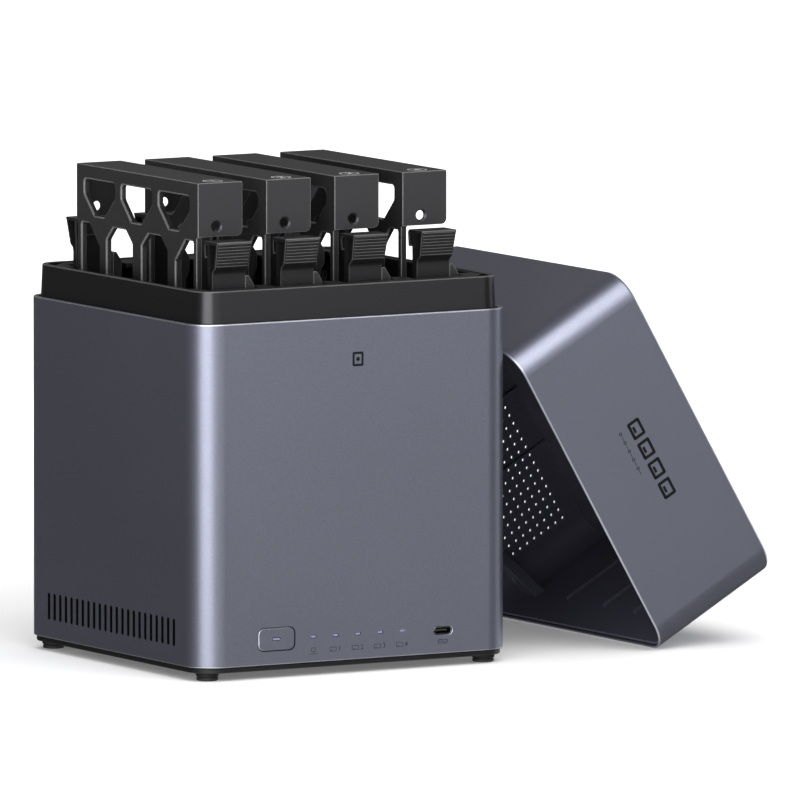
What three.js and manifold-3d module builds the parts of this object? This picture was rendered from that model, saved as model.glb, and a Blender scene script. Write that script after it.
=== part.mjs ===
// Four-bay network storage enclosure with its lid taken off and leaning on the right side.
// Millimetres, +Z up, +X to the right of the front panel, -Y towards the front.
// The model is drawn about the centre of the body's footprint, and one group at the end
// moves it so that the origin is the middle of the floor area of body and lid together.

import * as THREE from "three";
import { mergeVertices } from "three/addons/utils/BufferGeometryUtils.js";
import Module from "manifold-3d";

const wasm = await Module();
wasm.setup();

// ---- Body ----
const GAP = 0.3; // clearance between neighbouring pieces
const BODY_HALF = 77.5; // the footprint is a 155 mm square
const BODY_RADIUS = 13; // upright corners of the shell
const SHELL_WALL = 2;
const SHELL_BOTTOM = 6;
const SHELL_TOP = 153.2;
const SHELL_INNER = BODY_HALF - SHELL_WALL;

// ---- Base and feet ----
const BASE_BOTTOM = 3.6;
const BASE_FLANGE_HALF = BODY_HALF - 1.2; // black band that shows under the shell
const BASE_PLUG_HALF = SHELL_INNER - GAP; // part that reaches up inside the shell
const BASE_TOP = 8.2;
const FOOT_RADIUS = 4.9;
const FOOT_X = 68;
const FOOT_Y = 67.5;
const CAGE_LEG_X = 66.5; // legs of the cage, which the base screws pull on
const CAGE_LEG_Y = 52.5;

// ---- Top frame ----
const FRAME_TOP = 167;
const FRAME_HALF = BODY_HALF - 3.2; // where it leaves the shell
const FRAME_DRAFT = 0.7; // how much further in each side is at the top
const FRAME_WALL = 2;
const FRAME_SKIRT_BOTTOM = 140;
const FRAME_WEB_NEAR = 58.2; // webs across its inner corners start here along each side
const FRAME_WEB_BOTTOM = 158;
const FRAME_WEB_TOP = 164.4;

// ---- Drives and trays ----
const BAYS = 4;
const BAY_PITCH = 33.55;
const TRAY_FIRST_X = -64.3; // left face of the first tray
const TRAY_TOP = 211.4;
const TRAY_BOTTOM = 76;
const TRAY_WIDTH = 21.9;
const TRAY_HALF = 53.2; // front to back, half
const TRAY_SHEET = 1.7; // cap and end walls
const TRAY_WALL = 2.7; // side wall that the base of the drive lies against
const END_WALL_HEIGHT = 23.3;
const DRIVE_HOLE_X = 9.1; // side hole of a 3.5-inch drive: 6.35 mm above its base
const DRIVE_HOLE_DROP = 18.9; // and 16.9 mm from its end, which clears the cap by 0.3 mm
const DRIVE_HOLE_RADIUS = 2.75;

// ---- Latches ----
const LATCH_X = 10.6; // centre of a latch, from the tray's left face
const LATCH_PIVOT_Y = 60.1; // distance of the pivot from the middle plane
const LATCH_PIVOT_Z = 140;
const LATCH_PIN_RADIUS = 1.2;
const PAD_BOTTOM = 176;
const PAD_TOP = 187;
const PAD_WIDTH = 16;
const PAD_RIBS = 8;

// ---- Cage ----
const CAGE_HALF_X = 71;
const CAGE_HALF_Y = 70.5;
const CAGE_WALL = 1.8;
const CAGE_BOTTOM = 58.2;
const DECK_TOP = 166.6;
const DECK_SHEET = 2;
const DECK_REACH = 54; // the deck's inner edge, from the middle plane

// ---- Boards and fan ----
const BOARD_THICK = 1.6;
const MAIN_BOARD_Z = 12.7;
const MAIN_BOARD_TOP = MAIN_BOARD_Z + BOARD_THICK;
const BACKPLANE_Z = 55;
const FAN_BOTTOM = 29;
const FAN_HALF = 60; // 120 mm fan, 25 mm thick
const FAN_TOP = FAN_BOTTOM + 25;
const FAN_BORE = 57;

// ---- Front controls ----
const CONTROL_Z = 17; // centre height of the button and the lights
const BUTTON_X = -39.65;
const BUTTON_WIDTH = 17.7;
const BUTTON_HEIGHT = 9.6;
const LIGHT_X = 0.4; // middle light
const LIGHT_PITCH = 10.95;
const FRONT_PORT_X = 42.25;
const FRONT_PORT_Z = 15.9;

// ---- Side vents ----
const VENT_COUNT = 23;
const VENT_PITCH = 4.99;
const VENT_WIDTH = 2;
const VENT_BOTTOM = 14.1;
const VENT_TOP = 25.8;

// ---- Lid ----
const LID_HALF = 77;
const LID_RADIUS = 13;
const LID_HEIGHT = 63.6;
const LID_WALL = 1;
const LINER_WALL = 1;
const LINER_BOTTOM = 1.2; // the liner stops short of the metal edge
const LID_LEAN = THREE.MathUtils.degToRad(30.1); // rim plane from the vertical
const LID_Y = 0.5; // the lid stands 1 mm behind the front panel
const MAGNET_XY = 67.4; // corner magnets, in lid and frame alike
const MAGNET_RADIUS = 2.2;

// ---- Finishes ----
const finishes = {
  shell: { color: 0x5f626f, roughness: 0.38, metalness: 0.85 },
  frame: { color: 0x1c1c1e, roughness: 0.5, metalness: 0 },
  base: { color: 0x141416, roughness: 0.6, metalness: 0 },
  foot: { color: 0x101012, roughness: 0.85, metalness: 0 },
  cage: { color: 0x1a1a1c, roughness: 0.6, metalness: 0 },
  tray: { color: 0x262628, roughness: 0.5, metalness: 0 },
  latch: { color: 0x222224, roughness: 0.5, metalness: 0 },
  liner: { color: 0x1d1d26, roughness: 0.5, metalness: 0 },
  board: { color: 0x14261c, roughness: 0.45, metalness: 0 },
  connector: { color: 0x0c0c0e, roughness: 0.5, metalness: 0 },
  sink: { color: 0x9a9ca0, roughness: 0.4, metalness: 0.9 },
  fan: { color: 0x18181a, roughness: 0.55, metalness: 0 },
  steel: { color: 0xb4b6ba, roughness: 0.3, metalness: 1 },
  light: { color: 0xd8dcf0, roughness: 0.25, metalness: 0 },
};

const materials = Object.fromEntries(
  Object.entries(finishes).map(([name, look]) => [name, new THREE.MeshStandardMaterial(look)]),
);

// ---- Solids ----

// A closed three.js geometry as a solid that can be cut and joined.
function solid(geometry) {
  geometry.deleteAttribute("normal");
  geometry.deleteAttribute("uv");
  const merged = mergeVertices(geometry, 1e-4);
  const corners = merged.index.array;
  const kept = [];
  for (let i = 0; i < corners.length; i += 3) {
    const [a, b, c] = [corners[i], corners[i + 1], corners[i + 2]];
    if (a !== b && b !== c && c !== a) kept.push(a, b, c);
  }
  const vertProperties = new Float32Array(merged.attributes.position.array);
  return new wasm.Manifold(
    new wasm.Mesh({ numProp: 3, vertProperties, triVerts: new Uint32Array(kept) }),
  );
}

function join(...parts) {
  return parts.reduce((whole, part) => whole.add(part));
}

function cut(whole, ...tools) {
  return tools.reduce((left, tool) => left.subtract(tool), whole);
}

function meshOf(name, body, finish) {
  const { vertProperties, triVerts } = body.getMesh();
  const geometry = new THREE.BufferGeometry();
  geometry.setAttribute("position", new THREE.BufferAttribute(vertProperties, 3));
  geometry.setIndex(new THREE.BufferAttribute(triVerts, 1));
  geometry.computeVertexNormals();
  const mesh = new THREE.Mesh(geometry, materials[finish]);
  mesh.name = name;
  return mesh;
}

function box(x0, x1, y0, y1, z0, z1) {
  const geometry = new THREE.BoxGeometry(x1 - x0, y1 - y0, z1 - z0);
  geometry.translate((x0 + x1) / 2, (y0 + y1) / 2, (z0 + z1) / 2);
  return solid(geometry);
}

function rod(radius, axis, from, to, sides = 16) {
  const length = Math.abs(to[axis] - from[axis]);
  const geometry = new THREE.CylinderGeometry(radius, radius, length, sides);
  if (axis === 0) geometry.rotateZ(Math.PI / 2);
  if (axis === 2) geometry.rotateX(Math.PI / 2);
  geometry.translate(...from.map((value, i) => (value + to[i]) / 2));
  return solid(geometry);
}

function upright(x, y, radius, z0, z1, sides) {
  return rod(radius, 2, [x, y, z0], [x, y, z1], sides);
}

// Rectangle with rounded corners, about a centre.
function roundedRect(halfU, halfV, radius, u = 0, v = 0) {
  const shape = new THREE.Shape();
  const [iu, iv] = [halfU - radius, halfV - radius];
  shape.absarc(u + iu, v + iv, radius, 0, Math.PI / 2, false);
  shape.absarc(u - iu, v + iv, radius, Math.PI / 2, Math.PI, false);
  shape.absarc(u - iu, v - iv, radius, Math.PI, 1.5 * Math.PI, false);
  shape.absarc(u + iu, v - iv, radius, 1.5 * Math.PI, 2 * Math.PI, false);
  shape.closePath();
  return shape;
}

function polygon(points) {
  return new THREE.Shape(points.map((p) => new THREE.Vector2(...p)));
}

function extrude(shape, depth, curveSegments) {
  return new THREE.ExtrudeGeometry(shape, { depth, curveSegments, bevelEnabled: false });
}

// A shape in (x, y) from z0 to z1.
function prismZ(shape, z0, z1, arcs = 5) {
  return solid(extrude(shape, z1 - z0, arcs).translate(0, 0, z0));
}

// A shape in (x, z) from y0 to y1.
function prismY(shape, y0, y1, arcs = 3) {
  return solid(extrude(shape, y1 - y0, arcs).rotateX(Math.PI / 2).translate(0, y1, 0));
}

// A shape in (y, z) from x0 to x1.
function prismX(shape, x0, x1, arcs = 3) {
  const turn = new THREE.Matrix4().makeBasis(
    new THREE.Vector3(0, 1, 0),
    new THREE.Vector3(0, 0, 1),
    new THREE.Vector3(1, 0, 0),
  );
  return solid(extrude(shape, x1 - x0, arcs).applyMatrix4(turn).translate(x0, 0, 0));
}

function corners(x, y) {
  return [[-x, -y], [x, -y], [x, y], [-x, y]];
}

// Triangles across the four corners of a square of the given half side.
function cornerTriangles(near, half) {
  return corners(1, 1).map(([sx, sy]) => (
    polygon([[sx * near, sy * half], [sx * half, sy * near], [sx * half, sy * half]])
  ));
}

// ---- Outer shell ----

function shellSolid() {
  const outside = prismZ(roundedRect(BODY_HALF, BODY_HALF, BODY_RADIUS), SHELL_BOTTOM, SHELL_TOP);
  const insideShape = roundedRect(SHELL_INNER, SHELL_INNER, BODY_RADIUS - SHELL_WALL);
  let shell = outside.subtract(prismZ(insideShape, SHELL_BOTTOM - 1, SHELL_TOP + 1));

  for (let i = 0; i < VENT_COUNT; i += 1) {
    const y = (i - (VENT_COUNT - 1) / 2) * VENT_PITCH - 0.5;
    const [y0, y1] = [y - VENT_WIDTH / 2, y + VENT_WIDTH / 2];
    shell = shell.subtract(box(-BODY_HALF - 1, BODY_HALF + 1, y0, y1, VENT_BOTTOM, VENT_TOP));
  }

  const front = [-BODY_HALF - 1, -SHELL_INNER + 1];
  const buttonHole = roundedRect(
    BUTTON_WIDTH / 2 + GAP, BUTTON_HEIGHT / 2 + GAP, 2.8, BUTTON_X, CONTROL_Z,
  );
  const portHole = roundedRect(4.75, 1.9, 1.9, FRONT_PORT_X, FRONT_PORT_Z);
  const lightHoles = lightPlaces().map((x) => (
    prismY(roundedRect(1.35, 0.65, 0.3, x, CONTROL_Z), ...front, 1)
  ));
  const rearWindow = roundedRect(PLATE_HALF_X + GAP, PLATE_HALF_Z + GAP, 3, 0, PLATE_Z);
  return cut(
    shell,
    prismY(buttonHole, ...front),
    prismY(portHole, ...front, 6),
    ...lightHoles,
    prismY(rearWindow, SHELL_INNER - 1, BODY_HALF + 1),
  );
}

function lightPlaces() {
  return [-2, -1, 0, 1, 2].map((i) => LIGHT_X + i * LIGHT_PITCH);
}

// ---- Top frame: a skirt inside the shell and a drafted collar that the lid goes over ----

// Moves every side inwards in proportion to its height above z0.
function draft(geometry, half, inset, z0, z1) {
  const position = geometry.attributes.position;
  for (let i = 0; i < position.count; i += 1) {
    const share = (position.getZ(i) - z0) / (z1 - z0);
    const scale = 1 - (Math.max(0, share) * inset) / half;
    position.setXY(i, position.getX(i) * scale, position.getY(i) * scale);
  }
  return geometry;
}

function draftedPrism(half, radius, z0, z1) {
  const geometry = extrude(roundedRect(half, half, radius), z1 - z0, 5).translate(0, 0, z0);
  return solid(draft(geometry, half, FRAME_DRAFT, SHELL_TOP, FRAME_TOP));
}

function frameSolid() {
  const collarRadius = BODY_RADIUS - (BODY_HALF - FRAME_HALF);
  const skirtShape = roundedRect(SHELL_INNER - GAP, SHELL_INNER - GAP, BODY_RADIUS - SHELL_WALL - GAP);
  const skirt = prismZ(skirtShape, FRAME_SKIRT_BOTTOM, SHELL_TOP - 0.6);
  const collar = draftedPrism(FRAME_HALF, collarRadius, FRAME_SKIRT_BOTTOM + 1, FRAME_TOP);
  const bore = draftedPrism(
    FRAME_HALF - FRAME_WALL, collarRadius - FRAME_WALL, FRAME_SKIRT_BOTTOM - 1, FRAME_TOP + 1,
  );
  const ring = join(skirt, collar).subtract(bore);

  // A web across each corner carries the steel catch for a lid magnet.
  const limit = draftedPrism(FRAME_HALF - 1, collarRadius - 1, FRAME_SKIRT_BOTTOM, FRAME_TOP);
  const webs = cornerTriangles(FRAME_WEB_NEAR, FRAME_HALF).map((shape) => (
    prismZ(shape, FRAME_WEB_BOTTOM, FRAME_WEB_TOP).intersect(limit)
  ));
  const pockets = corners(MAGNET_XY, MAGNET_XY).map(([x, y]) => (
    upright(x, y, MAGNET_RADIUS + GAP, 162.3, 170, 8)
  ));
  return cut(join(ring, ...webs), ...pockets);
}

// ---- Base ----

function baseSolid() {
  const flange = prismZ(
    roundedRect(BASE_FLANGE_HALF, BASE_FLANGE_HALF, BODY_RADIUS - 1.2), BASE_BOTTOM, SHELL_BOTTOM - GAP,
  );
  const plug = prismZ(
    roundedRect(BASE_PLUG_HALF, BASE_PLUG_HALF, BODY_RADIUS - SHELL_WALL - GAP), BASE_BOTTOM, BASE_TOP,
  );
  const pocket = prismZ(roundedRect(58, 72, 4), SHELL_BOTTOM, BASE_TOP + 1, 2);
  const standoffs = corners(54, 62).map(([x, y]) => upright(x, y, 3.2, 5, MAIN_BOARD_Z - GAP, 8));
  const intake = [-4, -3, -2, -1, 0, 1, 2, 3, 4].map((i) => (
    box(i * 9 - 2, i * 9 + 2, -36, 36, BASE_BOTTOM - 1, SHELL_BOTTOM + 1)
  ));
  const footHoles = corners(FOOT_X, FOOT_Y).map(([x, y]) => upright(x, y, 1.8, 0, BASE_TOP + 1, 8));
  const screwHoles = corners(CAGE_LEG_X, CAGE_LEG_Y).map(([x, y]) => (
    join(upright(x, y, 3.2, 0, 5.4, 8), upright(x, y, 1.7, 5, BASE_TOP + 1, 8))
  ));
  return cut(join(cut(join(flange, plug), pocket), ...standoffs), ...intake, ...footHoles, ...screwHoles);
}

function lathe(profile, sides) {
  const points = profile.map((p) => new THREE.Vector2(...p));
  return solid(new THREE.LatheGeometry(points, sides).rotateX(Math.PI / 2));
}

function footSolid() {
  const top = BASE_BOTTOM - GAP;
  return lathe([
    [0, 0], [FOOT_RADIUS - 0.7, 0], [FOOT_RADIUS - 0.3, 0.5], [FOOT_RADIUS, top],
    [1.5, top], [1.5, top + 3.4], [0, top + 3.4],
  ], 14);
}

function screwSolid() {
  return lathe([
    [0, 3.9], [2.4, 3.9], [2.8, 4.3], [2.8, 5.1], [1.3, 5.1], [1.3, 15], [0, 15],
  ], 8);
}

// ---- Cage: guides the trays, catches their latches and stands on four legs ----

function trayX(bay) {
  return TRAY_FIRST_X + bay * BAY_PITCH;
}

function bays() {
  return [...Array(BAYS).keys()];
}

function cageSolid() {
  const [hx, hy] = [CAGE_HALF_X, CAGE_HALF_Y];
  const outside = prismZ(roundedRect(hx, hy, 7), CAGE_BOTTOM, DECK_TOP, 4);
  const wellShape = roundedRect(hx - CAGE_WALL, hy - CAGE_WALL, 5.2);
  const well = prismZ(wellShape, CAGE_BOTTOM - 1, DECK_TOP - DECK_SHEET, 4);
  const mouth = box(-hx + CAGE_WALL, hx - CAGE_WALL, -DECK_REACH, DECK_REACH, DECK_TOP - 5, DECK_TOP + 1);
  let cage = cut(outside, well, mouth);

  // The deck is notched where a tray and its latches pass.
  const catchY = 63.2;
  for (const bay of bays()) {
    const x = trayX(bay);
    cage = cage.subtract(box(x - 0.5, x + 25, -catchY, catchY, DECK_TOP - 5, DECK_TOP + 1));
  }

  // Its corners make room for the webs of the top frame.
  for (const shape of cornerTriangles(FRAME_WEB_NEAR - 2 * GAP, FRAME_HALF)) {
    cage = cage.subtract(prismZ(shape, FRAME_WEB_BOTTOM - GAP, DECK_TOP + 1));
  }

  // Upright dividers between neighbouring bays, front and rear.
  for (const bay of bays().slice(1)) {
    const x = trayX(bay) - 2.4;
    cage = join(
      cage,
      box(x - 0.8, x + 0.8, -hy + 1, -DECK_REACH, CAGE_BOTTOM, DECK_TOP - 1),
      box(x - 0.8, x + 0.8, DECK_REACH, hy - 1, CAGE_BOTTOM, DECK_TOP - 1),
    );
  }

  for (const [x, y] of corners(CAGE_LEG_X, CAGE_LEG_Y)) {
    const leg = box(x - 4.2, x + 4.2, y - 4.5, y + 4.5, BASE_TOP + GAP, CAGE_BOTTOM + 6);
    cage = join(cage, leg).subtract(upright(x, y, 1.7, 0, 16, 8));
  }
  return cage;
}

// ---- Trays ----

// Window that narrows downwards, in the upper row of the side wall.
function upperWindow(y) {
  const [top, waist, bottom] = [205.2, 199, 189.9];
  return polygon([
    [y - 4.3, bottom], [y + 4.3, bottom], [y + 13.4, waist],
    [y + 13.4, top], [y - 13.4, top], [y - 13.4, waist],
  ]);
}

// Tall opening with a pointed top, in the lower row.
function lowerArch(y) {
  const [top, shoulder, bottom] = [186, 180.4, 118];
  return polygon([
    [y - 11.2, bottom], [y + 11.2, bottom], [y + 11.2, shoulder],
    [y + 5.3, top], [y - 5.3, top], [y - 11.2, shoulder],
  ]);
}

// Half an arch beside an end post; side is +1 at the rear and -1 at the front.
function endArch(side) {
  const [top, shoulder, bottom] = [186.2, 176.8, 118];
  const points = [[33.4, bottom], [48.8, bottom], [48.8, top], [42.2, top], [33.4, shoulder]];
  return polygon(points.map(([y, z]) => [side * y, z]));
}

// Bracket that carries a latch; side is -1 at the front and +1 at the rear.
function latchBracket(side) {
  const slab = (x0, x1, near, far, z0, z1) => (
    box(x0, x1, Math.min(side * near, side * far), Math.max(side * near, side * far), z0, z1)
  );
  const foot = LATCH_PIVOT_Z - 6;
  const web = slab(0, 20.4, 54.6, 56.6, foot, LATCH_PIVOT_Z + 10);
  const post = slab(0, 2.3, 51, 57.6, foot, LATCH_PIVOT_Z + 10);
  const leftEar = slab(0.9, 2.3, 55, 62.2, foot, LATCH_PIVOT_Z + 4);
  const rightEar = slab(19, 20.4, 55, 62.2, foot, LATCH_PIVOT_Z + 4);
  const gusset = polygon([
    [19, foot], [21.2, foot], [21.2, 158], [24, 162], [24, 167.2], [21, 172], [19, 172],
  ]);
  const guide = prismY(gusset, ...(side < 0 ? [-60.5, -55] : [55, 60.5]));
  const pivotHole = rod(
    LATCH_PIN_RADIUS + GAP, 0,
    [0.5, side * LATCH_PIVOT_Y, LATCH_PIVOT_Z], [21.6, side * LATCH_PIVOT_Y, LATCH_PIVOT_Z], 8,
  );
  return cut(join(web, post, leftEar, rightEar, guide), pivotHole);
}

function traySolid() {
  const lowerHalf = TRAY_HALF - 1.2;
  const step = TRAY_TOP - END_WALL_HEIGHT;
  const outline = polygon([
    [-lowerHalf, TRAY_BOTTOM], [lowerHalf, TRAY_BOTTOM], [lowerHalf, step],
    [TRAY_HALF, step], [TRAY_HALF, TRAY_TOP], [-TRAY_HALF, TRAY_TOP],
    [-TRAY_HALF, step], [-lowerHalf, step],
  ]);
  const windowShift = 0.6;
  const shapes = [
    ...[-1, 0, 1].map((i) => upperWindow(windowShift + 32.6 * i)),
    lowerArch(15.7), lowerArch(-15), endArch(1), endArch(-1),
  ];
  const cutters = shapes.map((shape) => prismX(shape, -1, TRAY_WALL + 1, 1));
  const mountHoles = [[-44.5, 91.3], [44.5, 91.3], [0, 91.3]].map(([y, z]) => (
    rod(1.8, 0, [-1, y, z], [TRAY_WALL + 1, y, z], 6)
  ));
  const wall = cut(prismX(outline, 0, TRAY_WALL), ...cutters, ...mountHoles);

  const cap = box(0, TRAY_WIDTH, -TRAY_HALF, TRAY_HALF, TRAY_TOP - TRAY_SHEET, TRAY_TOP);
  const endShape = new THREE.Shape();
  endShape.moveTo(0, step);
  endShape.lineTo(TRAY_WIDTH - 2.5, step);
  endShape.absarc(TRAY_WIDTH - 2.5, step + 2.5, 2.5, -Math.PI / 2, 0, false);
  endShape.lineTo(TRAY_WIDTH, TRAY_TOP);
  endShape.lineTo(0, TRAY_TOP);
  endShape.closePath();
  const ends = join(
    prismY(endShape, -TRAY_HALF, -TRAY_HALF + TRAY_SHEET),
    prismY(endShape, TRAY_HALF - TRAY_SHEET, TRAY_HALF),
  );
  const holeZ = TRAY_TOP - DRIVE_HOLE_DROP;
  const driveHole = rod(
    DRIVE_HOLE_RADIUS, 1, [DRIVE_HOLE_X, -TRAY_HALF - 1, holeZ], [DRIVE_HOLE_X, TRAY_HALF + 1, holeZ], 12,
  );
  return join(wall, cap, ends.subtract(driveHole), latchBracket(-1), latchBracket(1));
}

// ---- Latches: a ribbed finger pad on a springy neck, drawn for the front of a tray ----

function latchSolid() {
  const neckFront = -LATCH_PIVOT_Y - 0.9;
  const neckBack = -LATCH_PIVOT_Y + 0.9;
  const padBottomY = -64.2;
  const padTopY = -66.7;
  const lipY = -54.4;
  const rib = (PAD_TOP - PAD_BOTTOM) / PAD_RIBS;

  // From the foot of the neck up its front, over the ribs, back along the top and down inside.
  const points = [[neckBack, LATCH_PIVOT_Z], [neckBack, 174.6], [-62.2, 177]];
  const front = [
    [neckFront, LATCH_PIVOT_Z], [neckFront, 161], [-62.9, 161.6], [-62.9, 163.4], [neckFront, 164.2],
  ];
  front.push([neckFront, 173.4]);
  for (let i = 0; i < PAD_RIBS; i += 1) {
    const z = PAD_BOTTOM + i * rib;
    const y = padBottomY + ((padTopY - padBottomY) * i) / (PAD_RIBS - 1);
    front.push([y + 0.5, z], [y, z + 0.3 * rib], [y, z + 0.8 * rib]);
  }
  const top = [
    [padTopY + 0.4, PAD_TOP + 0.1], [lipY - 2.4, PAD_TOP], [lipY - 0.9, PAD_TOP - 0.5],
    [lipY - 0.2, PAD_TOP - 1.4], [lipY, PAD_TOP - 2.4], [lipY, 181.6], [lipY - 1.5, 181.6],
    [lipY - 1.5, PAD_TOP - 2.2], [lipY - 2.4, PAD_TOP - 1.7], [padTopY + 2.2, PAD_TOP - 1.7],
  ];
  const outline = [...front, ...top, ...points.reverse()];
  const geometry = new THREE.ExtrudeGeometry(polygon(outline), { depth: PAD_WIDTH, bevelEnabled: false });
  const turn = new THREE.Matrix4().makeBasis(
    new THREE.Vector3(0, 1, 0), new THREE.Vector3(0, 0, 1), new THREE.Vector3(1, 0, 0),
  );
  geometry.applyMatrix4(turn).translate(-PAD_WIDTH / 2, 0, 0);

  // The pad flares a little towards its top.
  const position = geometry.attributes.position;
  for (let i = 0; i < position.count; i += 1) {
    const rise = Math.max(0, position.getZ(i) - PAD_BOTTOM) / (PAD_TOP - PAD_BOTTOM);
    position.setX(i, position.getX(i) * (1 + 0.07 * rise));
  }
  const pivot = [0, -LATCH_PIVOT_Y, LATCH_PIVOT_Z];
  const barrel = rod(2, 0, [-7.9, pivot[1], pivot[2]], [7.9, pivot[1], pivot[2]], 8);
  const pin = rod(LATCH_PIN_RADIUS, 0, [-9.5, pivot[1], pivot[2]], [9.6, pivot[1], pivot[2]], 8);
  return join(solid(geometry), barrel, pin);
}

// ---- Boards, connectors and cooling ----

function backplaneSolid() {
  const board = box(-61, 61, -66, 66, BACKPLANE_Z, BACKPLANE_Z + BOARD_THICK);
  const airWays = bays().map((bay) => {
    const x = trayX(bay) + 22;
    return prismZ(roundedRect(7.5, 50, 3, Math.min(x, 50), 0), BACKPLANE_Z - 1, BACKPLANE_Z + 3, 1);
  });
  return cut(board, ...airWays);
}

function driveConnectorSolid() {
  const body = box(-3.2, 3.2, -22, 22, BACKPLANE_Z + BOARD_THICK + GAP, 64);
  return cut(body, box(-1.2, 1.2, -20.5, -8, 59.5, 65), box(-1.2, 1.2, -5.5, 20.5, 59.5, 65));
}

function mainBoardSolid() {
  const board = box(-60, 60, -69, 69, MAIN_BOARD_Z, MAIN_BOARD_TOP);
  const chips = [[-38, 20, 9, 9, 1.4], [38, -26, 7, 11, 1.2], [36, 14, 10, 6, 1.6], [-40, -20, 5, 5, 1]];
  return chips.reduce((whole, [x, y, halfX, halfY, tall]) => (
    whole.add(box(x - halfX, x + halfX, y - halfY, y + halfY, MAIN_BOARD_Z + 1, MAIN_BOARD_TOP + tall))
  ), board);
}

function heatSinkSolid() {
  const bottom = MAIN_BOARD_TOP + GAP;
  const half = 24;
  let sink = box(-half, half, -half, half, bottom, bottom + 3);
  for (let i = 0; i < 9; i += 1) {
    const x = -half + 0.7 + (i * (2 * half - 1.4)) / 8;
    sink = sink.add(box(x - 0.7, x + 0.7, -half, half, bottom + 2, 26.5));
  }
  return sink;
}

function fanFrameSolid() {
  const outside = prismZ(roundedRect(FAN_HALF, FAN_HALF, 5), FAN_BOTTOM, FAN_TOP, 3);
  const bore = upright(0, 0, FAN_BORE, FAN_BOTTOM - 1, FAN_TOP + 1, 28);
  const hub = upright(0, 0, 20, FAN_BOTTOM, FAN_BOTTOM + 3, 16);
  const arms = join(
    box(-FAN_BORE - 1, FAN_BORE + 1, -1.6, 1.6, FAN_BOTTOM, FAN_BOTTOM + 3),
    box(-1.6, 1.6, -FAN_BORE - 1, FAN_BORE + 1, FAN_BOTTOM, FAN_BOTTOM + 3),
  );
  const holes = corners(52.5, 52.5).map(([x, y]) => upright(x, y, 2.15, FAN_BOTTOM - 1, FAN_TOP + 1, 6));
  return cut(join(outside.subtract(bore), hub, arms), ...holes);
}

// One blade: a plate from the hub to near the bore, twisted along its length.
function fanBlade(turn) {
  const [inner, outer] = [18, FAN_BORE - 3.8];
  const geometry = new THREE.BoxGeometry(outer - inner, 30, 1.6, 3, 1, 1);
  geometry.translate((inner + outer) / 2, 0, 0);
  const position = geometry.attributes.position;
  for (let i = 0; i < position.count; i += 1) {
    const share = (position.getX(i) - inner) / (outer - inner);
    const pitch = THREE.MathUtils.degToRad(44 - 18 * share);
    const [y, z] = [position.getY(i) * (0.72 + 0.28 * share), position.getZ(i)];
    position.setY(i, y * Math.cos(pitch) - z * Math.sin(pitch));
    position.setZ(i, y * Math.sin(pitch) + z * Math.cos(pitch));
  }
  return solid(geometry.rotateZ(turn).translate(0, 0, 42.6));
}

function fanRotorSolid() {
  const blades = [...Array(7).keys()].map((i) => fanBlade((i * 2 * Math.PI) / 7));
  const hub = upright(0, 0, 19.5, FAN_BOTTOM + 3.6, 52.6, 20);
  return join(hub, ...blades);
}

// ---- Front controls ----

function buttonSolid() {
  const face = roundedRect(BUTTON_WIDTH / 2, BUTTON_HEIGHT / 2, 2.5, BUTTON_X, CONTROL_Z);
  const flange = roundedRect(BUTTON_WIDTH / 2 + 1.4, BUTTON_HEIGHT / 2 + 1.4, 3, BUTTON_X, CONTROL_Z + 1);
  const back = -SHELL_INNER + GAP;
  const stem = rod(1.8, 1, [BUTTON_X, back, CONTROL_Z + 3], [BUTTON_X, -70.2, CONTROL_Z + 3], 8);
  const slotShape = roundedRect(2.05, 0.8, 0.4, BUTTON_X, CONTROL_Z);
  const lightSlot = prismY(slotShape, -BODY_HALF - 1, -SHELL_INNER + 3, 2);
  return cut(join(
    prismY(face, -BODY_HALF, back + 0.5), prismY(flange, back, back + 1.2, 2), stem,
  ), lightSlot);
}

function lightGuideSolid() {
  const bar = box(LIGHT_X - 25, LIGHT_X + 25, -SHELL_INNER + GAP, -73.2, CONTROL_Z - 1.6, CONTROL_Z + 1.6);
  const tips = lightPlaces().map((x) => (
    prismY(roundedRect(1.15, 0.5, 0.2, x, CONTROL_Z), -BODY_HALF + 0.1, -SHELL_INNER + 1, 1)
  ));
  return join(bar, ...tips);
}

// Socket of a small reversible plug: an oval metal tube with a tongue inside.
function frontPortSolid() {
  const [x, z] = [FRONT_PORT_X, FRONT_PORT_Z];
  const outside = prismY(roundedRect(4.45, 1.6, 1.6, x, z), -BODY_HALF + 0.3, -68, 4);
  const inside = prismY(roundedRect(4.15, 1.3, 1.3, x, z), -BODY_HALF - 1, -69, 4);
  const tongue = box(x - 3.3, x + 3.3, -75.6, -68.5, z - 0.35, z + 0.35);
  return outside.subtract(inside).add(tongue);
}

// ---- Rear ports, which stand on the main board ----

const PLATE_HALF_X = 51.7;
const PLATE_HALF_Z = 12.7;
const PLATE_Z = 24;
const PORT_FACE = 76.6;

const rearPorts = {
  network_port: { x: -38, width: 16, height: 13.6, depth: 21, mouth: [11.8, 8.4, 14], mouthDrop: 1.2 },
  video_port: { x: -16, width: 15.2, height: 6.2, depth: 11, mouth: [14, 4.8, 9], tongue: [11, 1.2] },
  rear_data_port_1: { x: 5, width: 14.4, height: 7, depth: 14, mouth: [12.6, 5.2, 12], tongue: [11, 1.8] },
  rear_data_port_2: { x: 24, width: 14.4, height: 7, depth: 14, mouth: [12.6, 5.2, 12], tongue: [11, 1.8] },
  power_inlet: { x: 42, width: 10, height: 11, depth: 14, round: 3.2, pin: 1 },
};

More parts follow.
